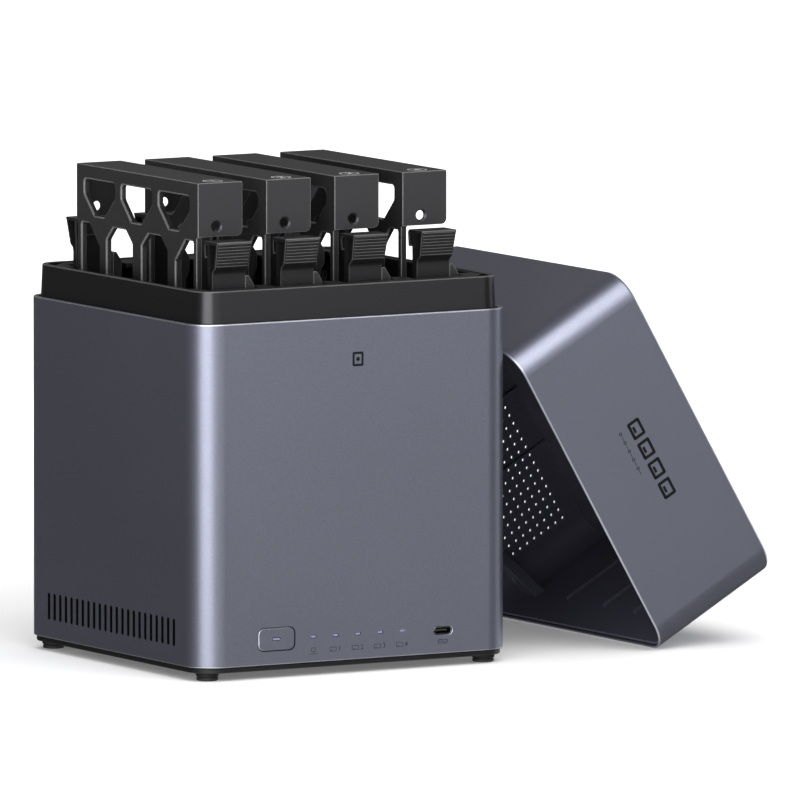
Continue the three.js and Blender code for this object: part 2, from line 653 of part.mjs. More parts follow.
function portSolid({ x, width, height, depth, mouth, mouthDrop = 0, tongue, round, pin }) {
  const bottom = MAIN_BOARD_TOP + GAP;
  const back = PORT_FACE - depth;
  const z = bottom + height / 2 - mouthDrop;
  let body = box(x - width / 2, x + width / 2, back, PORT_FACE, bottom, bottom + height);
  if (mouth) {
    const [w, h, d] = mouth;
    body = body.subtract(box(x - w / 2, x + w / 2, PORT_FACE - d, PORT_FACE + 1, z - h / 2, z + h / 2));
  }
  if (tongue) {
    const [w, h] = tongue;
    const y0 = back + 0.5;
    body = body.add(box(x - w / 2, x + w / 2, y0, PORT_FACE - 1.5, z + 0.2, z + 0.2 + h));
  }
  if (round) {
    body = body.subtract(rod(round, 1, [x, PORT_FACE - 10, z], [x, PORT_FACE + 1, z], 20));
    body = body.add(rod(pin, 1, [x, back + 1, z], [x, PORT_FACE - 1, z], 10));
  }
  return body;
}

function portPlateSolid() {
  const plateShape = roundedRect(PLATE_HALF_X, PLATE_HALF_Z, 2.7, 0, PLATE_Z);
  const plate = prismY(plateShape, SHELL_INNER - 1.2, PORT_FACE);
  const bottom = MAIN_BOARD_TOP + GAP;
  const holes = Object.values(rearPorts).map(({ x, width, height }) => box(
    x - width / 2 - GAP, x + width / 2 + GAP, 70, 80, bottom - GAP, bottom + height + GAP,
  ));
  return cut(plate, ...holes);
}

// ---- Lid: a metal shell over a plastic liner, drawn standing on its rim ----

function lidShellSolid() {
  const inner = LID_HALF - LID_WALL;
  return cut(
    prismZ(roundedRect(LID_HALF, LID_HALF, LID_RADIUS), 0, LID_HEIGHT),
    prismZ(roundedRect(inner, inner, LID_RADIUS - LID_WALL), -1, LID_HEIGHT - LID_WALL),
  );
}

function lidLinerSolid() {
  const outer = LID_HALF - LID_WALL - GAP;
  const inner = outer - LINER_WALL;
  const outerRadius = LID_RADIUS - LID_WALL - GAP;
  const ceiling = LID_HEIGHT - LID_WALL - GAP - LINER_WALL;
  const skin = cut(
    prismZ(roundedRect(outer, outer, outerRadius), LINER_BOTTOM, ceiling + LINER_WALL),
    prismZ(roundedRect(inner, inner, outerRadius - LINER_WALL), 0, ceiling),
  );

  // Stiffening ribs: inside the rear wall and inside both side walls.
  const reach = 1.5;
  const rearRibs = [-31, -3, 25].map((x) => (
    box(x - 0.6, x + 0.6, inner - reach, inner + 0.4, 34, ceiling + 0.4)
  ));
  const sideRibs = [-26, 0.6, 31.5].flatMap((y) => [-1, 1].map((side) => {
    const [near, far] = [side * (inner - reach), side * (inner + 0.4)];
    return box(Math.min(near, far), Math.max(near, far), y - 0.6, y + 0.6, 17, ceiling + 0.4);
  }));

  // A web across each corner holds a magnet, which faces the frame's catch.
  const limit = prismZ(roundedRect(outer - 0.4, outer - 0.4, outerRadius - 0.4), 0, ceiling);
  const webs = cornerTriangles(131 - outer, outer).map((shape) => prismZ(shape, 15, 20).intersect(limit));
  const pockets = corners(MAGNET_XY, MAGNET_XY).map(([x, y]) => (
    upright(x, y, MAGNET_RADIUS + GAP, 14, 17.6, 8)
  ));
  return cut(join(skin, ...rearRibs, ...sideRibs, ...webs), ...pockets);
}

function discSolid(radius, thick) {
  return upright(0, 0, radius, 0, thick, 8);
}

// ---- Assembly ----

const body = new THREE.Group();

body.add(
  meshOf("outer_shell", shellSolid(), "shell"),
  meshOf("top_frame", frameSolid(), "frame"),
  meshOf("base_plate", baseSolid(), "base"),
  meshOf("drive_cage", cageSolid(), "cage"),
  meshOf("backplane_board", backplaneSolid(), "board"),
  meshOf("main_board", mainBoardSolid(), "board"),
  meshOf("heat_sink", heatSinkSolid(), "sink"),
  meshOf("fan_frame", fanFrameSolid(), "fan"),
  meshOf("fan_rotor", fanRotorSolid(), "fan"),
  meshOf("power_button", buttonSolid(), "shell"),
  meshOf("status_light_guide", lightGuideSolid(), "light"),
  meshOf("front_data_port", frontPortSolid(), "steel"),
  meshOf("rear_port_plate", portPlateSolid(), "base"),
);

const buttonLight = roundedRect(1.75, 0.5, 0.3, BUTTON_X, CONTROL_Z);
body.add(meshOf("button_light", prismY(buttonLight, -BODY_HALF + 0.1, -SHELL_INNER + 0.9, 2), "light"));

const buttonSwitch = box(BUTTON_X - 3, BUTTON_X + 3, -68.8, -64, MAIN_BOARD_TOP + GAP, 22.6);
body.add(meshOf("button_switch", buttonSwitch, "connector"));

for (const [name, port] of Object.entries(rearPorts)) {
  body.add(meshOf(name, portSolid(port), name === "power_inlet" ? "connector" : "steel"));
}

const footNames = ["front_left", "front_right", "rear_right", "rear_left"];
corners(FOOT_X, FOOT_Y).forEach(([x, y], i) => {
  const foot = meshOf(`foot_${footNames[i]}`, footSolid(), "foot");
  foot.position.set(x, y, 0);
  body.add(foot);
});
corners(CAGE_LEG_X, CAGE_LEG_Y).forEach(([x, y], i) => {
  const screw = meshOf(`base_screw_${footNames[i]}`, screwSolid(), "steel");
  screw.position.set(x, y, 0);
  body.add(screw);
});
corners(MAGNET_XY, MAGNET_XY).forEach(([x, y], i) => {
  const plate = meshOf(`frame_catch_${footNames[i]}`, discSolid(MAGNET_RADIUS, 1.6), "steel");
  plate.position.set(x, y, 162.3 + GAP);
  body.add(plate);
});

for (const bay of bays()) {
  const number = bay + 1;
  const connector = meshOf(`drive_connector_${number}`, driveConnectorSolid(), "connector");
  connector.position.set(trayX(bay) + 7.6, -18, 0);
  const slot = new THREE.Group();
  slot.position.x = trayX(bay);
  slot.add(meshOf(`tray_${number}`, traySolid(), "tray"));
  [["front", 0], ["rear", Math.PI]].forEach(([end, turn]) => {
    const latch = meshOf(`latch_${end}_${number}`, latchSolid(), "latch");
    latch.position.x = LATCH_X;
    latch.rotation.z = turn;
    slot.add(latch);
  });
  body.add(connector, slot);
}

// The lid leans with its left rim edge against the body and its right rim edge on the floor.
const lid = new THREE.Group();
lid.rotation.y = Math.PI / 2 - LID_LEAN;
lid.position.set(
  BODY_HALF + GAP + LID_HALF * Math.sin(LID_LEAN), LID_Y, LID_HALF * Math.cos(LID_LEAN),
);
lid.add(meshOf("lid_shell", lidShellSolid(), "shell"), meshOf("lid_liner", lidLinerSolid(), "liner"));
corners(MAGNET_XY, MAGNET_XY).forEach(([x, y], i) => {
  const magnet = meshOf(`lid_magnet_${footNames[i]}`, discSolid(MAGNET_RADIUS, 2), "steel");
  magnet.position.set(x, y, 15.3);
  lid.add(magnet);
});

const enclosure = new THREE.Group();
const lidFarX = lid.position.x + LID_HALF * Math.sin(LID_LEAN) + LID_HEIGHT * Math.cos(LID_LEAN);
const scene = new THREE.Group();
enclosure.add(body, lid);
enclosure.position.x = (BODY_HALF - lidFarX) / 2;
scene.add(enclosure);

export default scene;
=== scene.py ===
"""Looks of a four-bay network storage enclosure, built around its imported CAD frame."""

import math

import bmesh
import bpy
from mathutils import Matrix, Vector


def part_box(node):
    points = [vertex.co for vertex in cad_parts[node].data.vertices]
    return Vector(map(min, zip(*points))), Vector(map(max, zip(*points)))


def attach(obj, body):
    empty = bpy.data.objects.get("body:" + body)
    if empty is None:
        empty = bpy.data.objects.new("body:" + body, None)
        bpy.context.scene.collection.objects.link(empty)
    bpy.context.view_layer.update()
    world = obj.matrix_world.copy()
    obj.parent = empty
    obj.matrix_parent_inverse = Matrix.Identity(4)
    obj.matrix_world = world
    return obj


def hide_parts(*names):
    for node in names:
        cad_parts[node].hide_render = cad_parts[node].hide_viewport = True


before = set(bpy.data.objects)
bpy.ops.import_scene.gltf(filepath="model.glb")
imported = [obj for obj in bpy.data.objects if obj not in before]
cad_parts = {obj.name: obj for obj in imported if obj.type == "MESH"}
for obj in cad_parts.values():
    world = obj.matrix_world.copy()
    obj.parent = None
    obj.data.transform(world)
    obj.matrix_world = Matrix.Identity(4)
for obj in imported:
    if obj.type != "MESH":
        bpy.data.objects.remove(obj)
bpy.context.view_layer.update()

# ---- Frames of reference: meshes are drawn in millimetres and placed by one of these ----

MM = Matrix.Scale(0.001, 4)
shell_lo, shell_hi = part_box("outer_shell")
lid_lo, lid_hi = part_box("lid_shell")
CENTRE = Vector(((shell_lo.x + shell_hi.x) / 2, (shell_lo.y + shell_hi.y) / 2, 0))
BODY = Matrix.Translation(CENTRE) @ MM

LEAN = math.radians(30.1)  # the lid's rim plane, from the vertical
LEAN_X = 77.8  # where the rim's upper edge leans, just off the body's side
LID_HALF, LID_HEIGHT = 77.0, 63.6
LID = (
    Matrix.Translation((
        CENTRE.x + (LEAN_X + LID_HALF * math.sin(LEAN)) / 1000,
        (lid_lo.y + lid_hi.y) / 2,
        LID_HALF * math.cos(LEAN) / 1000,
    ))
    @ Matrix.Rotation(math.pi / 2 - LEAN, 4, "Y")
    @ MM
)


def bay_frame(bay):
    """Frame of one tray: x from its left face, y and z as in the body."""
    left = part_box(f"tray_{bay}")[0].x
    return Matrix.Translation((left, CENTRE.y, 0)) @ MM


# ---- Outlines ----

def rounded(points, radius, steps=4):
    """Closed outline whose corners are rounded; radius is one number or one for each corner."""
    points = [Vector(p) for p in points]
    radii = radius if hasattr(radius, "__len__") else [radius] * len(points)
    outline = []
    for i, (p, r) in enumerate(zip(points, radii)):
        a = (points[i - 1] - p).normalized()
        b = (points[(i + 1) % len(points)] - p).normalized()
        if r <= 0:
            outline.append(p)
            continue
        half = a.angle(b) / 2
        centre = p + (a + b).normalized() * (r / math.sin(half))
        start = p + a * (r / math.tan(half)) - centre
        end = p + b * (r / math.tan(half)) - centre
        first = math.atan2(start.y, start.x)
        turn = math.atan2(start.x * end.y - start.y * end.x, start.dot(end))
        for k in range(steps + 1):
            angle = first + turn * k / steps
            outline.append(centre + Vector((math.cos(angle), math.sin(angle))) * r)
    return outline


def rect(half_u, half_v, radius, u=0.0, v=0.0, steps=6):
    corners = [(-half_u, -half_v), (half_u, -half_v), (half_u, half_v), (-half_u, half_v)]
    return rounded([(u + a, v + b) for a, b in corners], radius, steps)


def circle(radius, u=0.0, v=0.0, sides=24):
    angles = [2 * math.pi * k / sides for k in range(sides)]
    return [Vector((u + radius * math.cos(a), v + radius * math.sin(a))) for a in angles]


def inset(outline, depth):
    """The outline moved inwards by depth, or outwards where depth is negative."""
    if not depth:
        return outline
    n = len(outline)
    area = sum(outline[i - 1].cross(outline[i]) for i in range(n))
    side = 1 if area > 0 else -1
    moved = []
    for i, p in enumerate(outline):
        before = (p - outline[i - 1]).normalized()
        after = (outline[(i + 1) % n] - p).normalized()
        m, k = Vector((-before.y, before.x)), Vector((-after.y, after.x))
        moved.append(p + (m + k) * (side * depth / (1 + m.dot(k))))
    return moved


# ---- Solids ----

AXES = {
    "x": lambda u, v, w: (w, u, v),
    "y": lambda u, v, w: (u, w, v),
    "z": lambda u, v, w: (u, v, w),
}


def as_mesh(bm):
    bmesh.ops.recalc_face_normals(bm, faces=bm.faces)
    mesh = bpy.data.meshes.new("mesh")
    bm.to_mesh(mesh)
    bm.free()
    return mesh


def loft(outline, stations, axis="z", ring=False):
    """A solid through the outline at each (level, inset) station; a ring is closed on itself."""
    bm = bmesh.new()
    place = AXES[axis]
    loops = [
        [bm.verts.new(place(p.x, p.y, level)) for p in inset(outline, depth)]
        for level, depth in stations
    ]
    n = len(outline)
    pairs = list(zip(loops, loops[1:])) + ([(loops[-1], loops[0])] if ring else [])
    for low, high in pairs:
        for i in range(n):
            j = (i + 1) % n
            bm.faces.new((low[i], low[j], high[j], high[i]))
    if not ring:
        bm.faces.new(loops[0][::-1])
        bm.faces.new(loops[-1])
    return as_mesh(bm)


def edged(low, high, edge, steps=3):
    """Stations from low to high with both end edges rounded."""
    quarter = [k * math.pi / 2 / steps for k in range(steps + 1)]
    foot = [(low + edge * (1 - math.sin(a)), edge * (1 - math.cos(a))) for a in quarter[::-1]]
    head = [(high - edge * (1 - math.sin(a)), edge * (1 - math.cos(a))) for a in quarter]
    return foot + head


def mouth(face, inner, edge):
    """Stations of a cutter that enters at face, with a chamfered mouth, and ends at inner."""
    out = 1 if face > inner else -1
    return [(inner, 0), (face - out * edge, 0), (face, -edge), (face + out, -edge - 1)]


def block(x0, x1, y0, y1, z0, z1, edge):
    """A box with softened edges, a little rounder on the upright ones."""
    outline = rounded([(x0, y0), (x1, y0), (x1, y1), (x0, y1)], edge * 1.3, 3)
    return loft(outline, edged(z0, z1, edge))


def upright(radius, x, y, low, high):
    """A post or disc with softened ends."""
    return loft(circle(radius, x, y, 32), edged(low, high, 0.15, 2))


def lathe(profile, sides=48, x=0.0, y=0.0):
    """A solid turned about a vertical line; the profile runs up from the axis and back to it."""
    bm = bmesh.new()
    inner = profile[1:-1]
    rings = [
        [bm.verts.new((x + p.x, y + p.y, z)) for p in circle(r, sides=sides)]
        for r, z in inner
    ]
    for low, high in zip(rings, rings[1:]):
        for i in range(sides):
            j = (i + 1) % sides
            bm.faces.new((low[i], low[j], high[j], high[i]))
    bm.faces.new(rings[0][::-1])
    bm.faces.new(rings[-1])
    return as_mesh(bm)


def together(meshes):
    """Several meshes that don't touch, as one mesh."""
    bm = bmesh.new()
    for mesh in meshes:
        bm.from_mesh(mesh)
        bpy.data.meshes.remove(mesh)
    mesh = bpy.data.meshes.new("mesh")
    bm.to_mesh(mesh)
    bm.free()
    return mesh


def boolean(first, second, operation):
    """The first mesh joined with or cut by the second."""
    objects = [bpy.data.objects.new("operand", m) for m in (first, second)]
    for o in objects:
        bpy.context.scene.collection.objects.link(o)
    modifier = objects[0].modifiers.new("boolean", "BOOLEAN")
    modifier.operation = operation
    modifier.solver = "MANIFOLD"
    modifier.object = objects[1]
    graph = bpy.context.evaluated_depsgraph_get()
    result = bpy.data.meshes.new_from_object(objects[0].evaluated_get(graph))
    for o in objects:
        bpy.data.objects.remove(o)
    for m in (first, second):
        bpy.data.meshes.remove(m)
    return result


def join(*meshes):
    whole = meshes[0]
    for mesh in meshes[1:]:
        whole = boolean(whole, mesh, "UNION")
    return whole


def cut(whole, *tools):
    """Cuts the whole by tools that don't touch one another."""
    return boolean(whole, together(tools), "DIFFERENCE")


def mirrored(mesh, axis):
    """A copy of the mesh on the other side of the middle plane of an axis."""
    copy = mesh.copy()
    copy.transform(Matrix.Diagonal([-1 if a == axis else 1 for a in "xyz"] + [1]))
    copy.flip_normals()
    return copy


# ---- Finishes ----

EDGE_HIGHLIGHT_NOISE, SMUDGE = (160, 5), (420, 3)  # scale and detail of the noise that breaks up the painted edge highlight, and of the noise in the gloss
RELIEF_DEPTH = 0.0002


def finish(name, color, roughness, metallic=0.0, grain=(1800, 0.08), cloud=(18, 0.06),
           bump=(1500, 0.1), edge=(0.1, 0.5), **sockets):
    """A finish: fine grain, broad clouding of tone and gloss, relief, and a painted highlight on
    rounded edges.
    """
    material = bpy.data.materials.new(name)
    material.use_nodes = True
    nodes, links = material.node_tree.nodes, material.node_tree.links
    shader = nodes["Principled BSDF"]
    where = nodes.new("ShaderNodeTexCoord").outputs["Object"]

    def noise(scale, detail):
        node = nodes.new("ShaderNodeTexNoise")
        node.inputs["Scale"].default_value = scale
        node.inputs["Detail"].default_value = detail
        links.new(where, node.inputs["Vector"])
        return node.outputs["Fac"]

    def spread(source, low, high, start=0.3, end=0.7):
        node = nodes.new("ShaderNodeMapRange")
        links.new(source, node.inputs["Value"])
        node.inputs["From Min"].default_value = start
        node.inputs["From Max"].default_value = end
        node.inputs["To Min"].default_value = low
        node.inputs["To Max"].default_value = high
        return node.outputs["Result"]

    def times(a, b):
        node = nodes.new("ShaderNodeMath")
        node.operation = "MULTIPLY"
        links.new(a, node.inputs[0])
        links.new(b, node.inputs[1])
        return node.outputs[0]

    fine, broad = noise(grain[0], 2), noise(cloud[0], 4)
    shade = times(
        spread(fine, 1 - grain[1], 1 + grain[1]), spread(broad, 1 - cloud[1], 1 + cloud[1])
    )
    toned = nodes.new("ShaderNodeVectorMath")
    toned.operation = "SCALE"
    toned.inputs[0].default_value = color
    links.new(shade, toned.inputs["Scale"])

    # Painted highlight: faces marked as rounded edges get a lighter colour, broken up by noise, in
    # place of the glints of light along them.
    highlight_tone, highlight_amount = edge
    highlight_mask = nodes.new("ShaderNodeAttribute")
    highlight_mask.attribute_name = "edge"
    edges = spread(highlight_mask.outputs["Fac"], 0, highlight_amount, 0, 1)
    edge_highlight = nodes.new("ShaderNodeMix")
    edge_highlight.data_type = "RGBA"
    links.new(times(edges, spread(noise(*EDGE_HIGHLIGHT_NOISE), 0.7, 1)), edge_highlight.inputs["Factor"])
    links.new(toned.outputs["Vector"], edge_highlight.inputs["A"])
    edge_highlight.inputs["B"].default_value = [c + highlight_tone for c in color] + [1]
    links.new(edge_highlight.outputs["Result"], shader.inputs["Base Color"])

    gloss = times(
        spread(broad, roughness * 0.94, roughness * 1.06), spread(noise(*SMUDGE), 0.95, 1.05)
    )
    links.new(gloss, shader.inputs["Roughness"])

    relief = nodes.new("ShaderNodeBump")
    relief.inputs["Strength"].default_value = bump[1]
    relief.inputs["Distance"].default_value = RELIEF_DEPTH
    links.new(noise(bump[0], 2), relief.inputs["Height"])
    links.new(relief.outputs["Normal"], shader.inputs["Normal"])

    shader.inputs["Metallic"].default_value = metallic
    for socket, value in sockets.items():
        shader.inputs[socket].default_value = value
    return material


# In each finish, edge gives the tone and the amount of its painted edge highlight.
SHELL = finish(
    "shell_metal", (0.288, 0.300, 0.383), 0.405, 0.95, (2600, 0.10), (7, 0.01), (2600, 0.10),
    (0.5, 0.9), **{"Coat Weight": 0.6, "Coat Roughness": 0.4},
)
BLACK = {
    "grain": (1500, 0.12), "cloud": (20, 0.05),
    "Specular IOR Level": 0.82, "Specular Tint": (0.95, 0.95, 1, 1),
}
MATT = {"Specular IOR Level": 0.2}
FRAME = finish(
    "frame_plastic", (0.004, 0.004, 0.0042), 0.32, bump=(1700, 0.05), edge=(0.08, 0.8), **BLACK,
)
BASE = finish(
    "base_plastic", (0.005, 0.005, 0.0052), 0.45, bump=(1700, 0.15), edge=(0.03, 0.5),
    **{**BLACK, "Specular IOR Level": 0.55},
)
RUBBER = finish(
    "foot_rubber", (0.006, 0.006, 0.006), 0.7, grain=(900, 0.15), bump=(900, 0.35),
    edge=(0.02, 0.5),
)
CAGE = finish(
    "cage_plastic", (0.006, 0.006, 0.0062), 0.45, bump=(1700, 0.15), edge=(0.05, 0.6), **BLACK,
)
TRAY = finish(
    "tray_plastic", (0.017, 0.017, 0.0175), 0.36, bump=(1900, 0.16), edge=(0.13, 0.8), **BLACK,
)
LATCH = finish(
    "latch_plastic", (0.007, 0.007, 0.0072), 0.34, bump=(1900, 0.14), edge=(0.08, 0.9), **BLACK,
)
LINER = finish(
    "liner_plastic", (0.060, 0.060, 0.085), 0.38, bump=(1500, 0.1), edge=(0.05, 0.5),
)
BOARD = finish("board_lacquer", (0.012, 0.060, 0.030), 0.32, 0, (700, 0.2), (60, 0.15), (500, 0.1))
PART = finish(
    "connector_plastic", (0.008, 0.008, 0.009), 0.42, bump=(1500, 0.15), edge=(0.06, 0.5), **BLACK,
)
SINK = finish("sink_metal", (0.55, 0.56, 0.58), 0.34, 1, (1200, 0.08), (30, 0.04), (900, 0.1))
FAN = finish("fan_plastic", (0.012, 0.012, 0.013), 0.45, bump=(1500, 0.15), edge=(0.05, 0.5))
STEEL = finish(
    "bright_metal", (0.60, 0.61, 0.63), 0.25, 1, (1500, 0.06), (30, 0.05), (1200, 0.08), (0.2, 0.6),
)
LIGHT = finish(
    "light_guide", (0.19, 0.19, 0.31), 0.3, 0, (900, 0.04), (40, 0.03), (800, 0.05), (0, 0),
    **{"Emission Color": (0.62, 0.62, 0.85, 1), "Emission Strength": 0.015},
)
PORT_METAL = finish(
    "port_metal", (0.16, 0.16, 0.17), 0.3, 1, (1500, 0.06), (30, 0.05), (1200, 0.08),
)
FAINT_INK = finish("faint_ink", (0.006, 0.006, 0.007), 0.6, **MATT)
INK = finish("dark_ink", (0.004, 0.004, 0.004), 0.6, **MATT)
# Painted shade: a near-black, dull finish for the shell's inner face and the flanks of its
# openings, in place of the shade inside them.
PAINTED_SHADE = finish(
    "painted_shade_flank", (0.0015, 0.0015, 0.0016), 0.8, edge=(0, 0), **{"Specular IOR Level": 0.05},
)
PALE_INK = finish("pale_ink", (0.60, 0.60, 0.61), 0.5)


# ---- Pieces ----

SHARP = math.radians(38)
BEND, NARROW = 0.15, 0.62  # radians between two faces, and millimetres across one


def mark_edges(mesh):
    """Marks the narrow faces of rounded edges, where finishes paint a lighter highlight."""
    bm = bmesh.new()
    bm.from_mesh(mesh)
    highlight_mask = bm.faces.layers.float.new("edge")
    for face in bm.faces:
        bends = [
            e for e in face.edges if e.is_manifold and e.is_convex and e.calc_face_angle() > BEND
        ]
        longest = max(e.calc_length() for e in face.edges)
        along = sum(e.calc_length() for e in bends)
        if along > 1.3 * longest and face.calc_area() < NARROW * longest:
            face[highlight_mask] = 1.0
    bm.to_mesh(mesh)
    bm.free()


def piece(name, mesh, place, body, material, nodes=(), inside=None):
    """One visible piece that rides on a body and may stand for CAD nodes.

    inside is a second material and the test that a face's centre passes to get it.
    """
    mark_edges(mesh)
    hidden = [f.index for f in mesh.polygons if inside and inside[1](f.center)]
    mesh.transform(place)
    obj = bpy.data.objects.new(name, mesh)
    bpy.context.scene.collection.objects.link(obj)
    mesh.materials.clear()
    mesh.materials.append(material)
    if inside:
        mesh.materials.append(inside[0])
        for index in hidden:
            mesh.polygons[index].material_index = 1
    mesh.shade_smooth()
    mesh.set_sharp_from_angle(angle=SHARP)
    normals = obj.modifiers.new("flat_faces", "WEIGHTED_NORMAL")
    normals.keep_sharp = True
    normals.weight = 90
    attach(obj, body)
    if nodes:
        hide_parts(*nodes)
    return obj


# ---- Body dimensions, in millimetres ----

BODY_HALF, BODY_RADIUS, SHELL_WALL = 77.5, 13.0, 2.0
SHELL_BOTTOM, SHELL_TOP = 6.0, 153.2
FRONT = -BODY_HALF
GAP = 0.3
CORNER_STEPS = 18

CONTROL_Z = 17.0
BUTTON_X, BUTTON_HALF_X, BUTTON_HALF_Z = -39.65, 8.85, 4.8
MIDDLE_X, LIGHT_PITCH = 0.4, 10.95
LIGHTS_X = [MIDDLE_X + LIGHT_PITCH * k for k in (-2, -1, 0, 1, 2)]
PORT_X, PORT_Z = 42.25, 15.9
VENTS, VENT_PITCH, VENT_Y, VENT_Z = 23, 4.99, -0.5, 19.95
VENT_HALF_Y, VENT_HALF_Z = 1.0, 5.85
PLATE_HALF_X, PLATE_HALF_Z, PLATE_Z = 52, 13, 24.0
DARK_LOW, DARK_HIGH, DARK_RIGHT = 10, 140, 20  # where the shell's inner faces take the painted shade


def body_rect(half, radius):
    return rect(half, half, radius, steps=CORNER_STEPS)


def outer_shell():
    wall = SHELL_WALL
    profile = [
        (SHELL_BOTTOM, 0.5), (SHELL_BOTTOM + 0.15, 0.15), (SHELL_BOTTOM + 0.5, 0),
        (SHELL_TOP - 0.6, 0), (SHELL_TOP - 0.12, 0.22), (SHELL_TOP, 0.55),
        (SHELL_TOP, wall - 0.3), (SHELL_TOP - 0.3, wall),
        (SHELL_BOTTOM + 0.3, wall), (SHELL_BOTTOM, wall - 0.3),
    ]
    tube = loft(body_rect(BODY_HALF, BODY_RADIUS), profile, ring=True)
    tools = []
    for k in range(VENTS):
        y = (k - (VENTS - 1) / 2) * VENT_PITCH + VENT_Y
        slot = rect(VENT_HALF_Y, VENT_HALF_Z, VENT_HALF_Y - 0.001, y, VENT_Z)
        tools.append(loft(slot, mouth(FRONT, FRONT + 4, 0.04), "x"))
        tools.append(loft(slot, mouth(-FRONT, -FRONT - 4, 0.04), "x"))
    back = FRONT + 3
    button = rect(BUTTON_HALF_X + GAP, BUTTON_HALF_Z + GAP, 2.8, BUTTON_X, CONTROL_Z)
    tools.append(loft(button, mouth(FRONT, back, 0.04), "y"))
    port = rect(4.75, 1.9, 1.899, PORT_X, PORT_Z, steps=10)
    tools.append(loft(port, mouth(FRONT, back, 0.15), "y"))
    for x in LIGHTS_X:
        hole = rect(1.35, 0.65, 0.4, x, CONTROL_Z, steps=3)
        tools.append(loft(hole, mouth(FRONT, back, 0.03), "y"))
    plate = rect(PLATE_HALF_X, PLATE_HALF_Z, 3, 0, PLATE_Z)
    tools.append(loft(plate, mouth(BODY_HALF, BODY_HALF - 3, 0.3), "y"))
    return cut(tube, *tools)


def inside_shell(point):
    """True on the inner face, and on the flanks of the vents, the button and the lights, which take
    a near-black painted shade.
    """
    corner = BODY_HALF - BODY_RADIUS
    over_x, over_y = abs(point.x) - corner, abs(point.y) - corner
    if over_x > 0 and over_y > 0:
        depth = BODY_RADIUS - math.hypot(over_x, over_y)
    else:
        depth = BODY_RADIUS - max(over_x, over_y)
    on_side = over_y < 0 < over_x
    by_controls = over_x < 0 < over_y and point.y < 0 and point.x < DARK_RIGHT
    start = 0.01 if on_side or by_controls else SHELL_WALL - 0.1
    return depth > start and DARK_LOW < point.z < DARK_HIGH


# The shell's inner face and the flanks of its vents, button and lights get the painted shade.
piece(
    "shell_skin", outer_shell(), BODY, "chassis", SHELL, ["outer_shell"],
    inside=(PAINTED_SHADE, inside_shell),
)

# ---- Top frame ----

CORNERS = {
    "front_left": (-1, -1), "front_right": (1, -1), "rear_right": (1, 1), "rear_left": (-1, 1),
}
CATCH = 67.4  # steel catches and magnets, from both middle planes


def corner_webs(near, half, knee, bevelled, low, high):
    """Webs across the four inner corners of a square ring."""
    points = [(near, half), (half, near), (half, bevelled), (knee, knee), (bevelled, half)]
    return [
        loft(rounded([(sx * u, sy * v) for u, v in points], 0.3, 2), edged(low, high, 0.3))
        for sx, sy in CORNERS.values()
    ]


def top_frame():
    ring = loft(body_rect(75.2, 10.7), [
        (140, 0.3), (140.3, 0), (152.3, 0), (152.6, 0.3), (152.6, 0.92), (166.45, 1.55),
        (166.75, 1.62), (166.93, 1.8), (167, 2.1), (167, 3.2), (166.9, 3.45), (166.6, 3.6),
        (142, 2.95), (140, 2.9),
    ], ring=True)
    ring = join(ring, *corner_webs(58.2, 73.0, 70.8, 66.0, 158, 164.4))
    pockets = [
        loft(circle(2.5, sx * CATCH, sy * CATCH, 32), mouth(164.4, 162.3, 0.3))
        for sx, sy in CORNERS.values()
    ]
    return cut(ring, *pockets)


piece("collar", top_frame(), BODY, "chassis", FRAME, ["top_frame"])

# ---- Base, feet, screws and catches ----

FOOT_X, FOOT_Y, LEG_X, LEG_Y, POST_X, POST_Y = 68, 67.5, 66.5, 52.5, 54, 62
FOOT_PROFILE = [
    (0, 0), (4.1, 0), (4.45, 0.12), (4.6, 0.45), (4.62, 1.3), (4.45, 1.52), (4.25, 1.6),
    (4.25, 1.75), (4.6, 1.85), (4.85, 2.05), (4.9, 2.4), (4.9, 3.0), (4.7, 3.3),
    (1.5, 3.3), (1.5, 6.7), (0, 6.7),
]
SCREW_PROFILE = [
    (0, 3.9), (2.5, 3.9), (2.75, 4.05), (2.8, 4.4), (2.8, 5.1),
    (1.3, 5.1), (1.3, 14.8), (1.0, 15), (0, 15),
]


def base_plate():
    plate = loft(body_rect(76.3, 11.8), [
        (3.6, 0.5), (3.72, 0.2), (4.0, 0), (5.5, 0), (5.7, 0.2), (5.7, 1.1), (8.0, 1.1), (8.2, 1.3),
    ])
    plate = cut(plate, loft(rect(58, 72, 4), [(6, 0), (8.0, 0), (8.2, -0.2), (9, -1)]))
    posts = [upright(3.2, sx * POST_X, sy * POST_Y, 5, 12.4) for sx, sy in CORNERS.values()]
    plate = join(plate, *posts)
    tools = [
        loft(rect(2, 36, 1.9, 9 * k), [(7, 0), (3.9, 0), (3.6, -0.3), (2, -1.9)])
        for k in range(-4, 5)
    ]
    sunk = [(3, -0.6), (3.6, 0), (5.4, 0), (5.4, 1.5), (9, 1.5)]
    for sx, sy in CORNERS.values():
        tools.append(loft(circle(1.8, sx * FOOT_X, sy * FOOT_Y), [(3, 0), (9, 0)]))
        tools.append(loft(circle(3.2, sx * LEG_X, sy * LEG_Y), sunk))
    return cut(plate, *tools)


